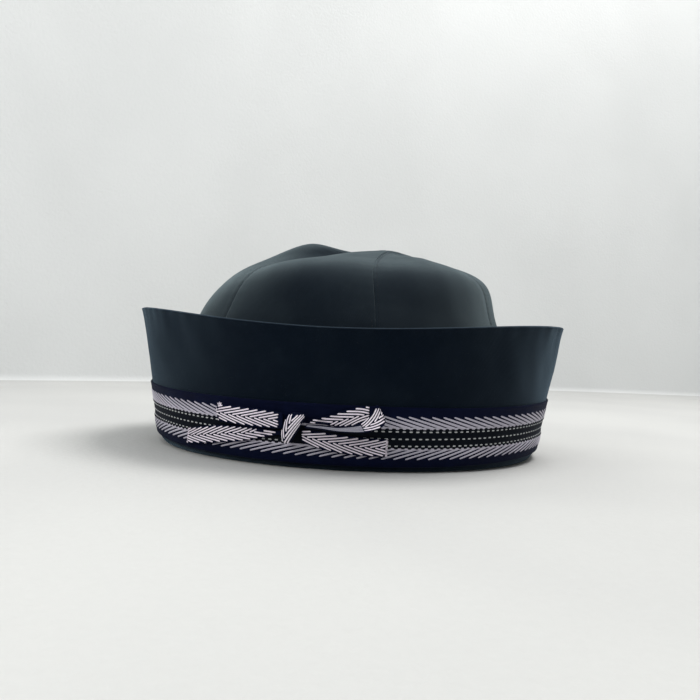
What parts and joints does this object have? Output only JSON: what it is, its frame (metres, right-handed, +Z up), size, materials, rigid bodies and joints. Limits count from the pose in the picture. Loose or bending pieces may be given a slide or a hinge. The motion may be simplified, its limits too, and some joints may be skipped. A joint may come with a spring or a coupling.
{
  "type": "sailor cap",
  "caption": "Soft brimmed sailor cap with a gored crown, a tall flared turned-up brim, a woven herringbone ribbon round its foot and a small tied ribbon bow.",
  "frame": {"origin": "centre of the foot of the brim, on the surface that the cap stands on", "axes": "+X along the long way of the head opening, to the right as the bow is seen; -Y is the side with the bow; +Z up"},
  "size_m": [0.2155, 0.2018, 0.1042],
  "materials": {
    "crown_twill": "matt black-navy cotton twill",
    "brim_twill": "matt black-navy cotton twill, stiffened double layer",
    "broad_ribbon": "woven ribbon, navy edges, pinkish white herringbone, black middle with cream picks",
    "narrow_ribbon": "woven herringbone ribbon, pinkish white on navy"
  },
  "bodies": {
    "root": {"crown_gore_1": "crown_twill", "crown_gore_2": "crown_twill", "crown_gore_3": "crown_twill", "crown_gore_4": "crown_twill", "crown_gore_5": "crown_twill", "crown_gore_6": "crown_twill", "brim": "brim_twill", "ribbon_band": "broad_ribbon", "bow_knot": "narrow_ribbon", "bow_left_loop": "narrow_ribbon", "bow_left_tail": "narrow_ribbon", "bow_right_tail": "narrow_ribbon", "bow_right_loop": "narrow_ribbon"}
  },
  "joints": []
}
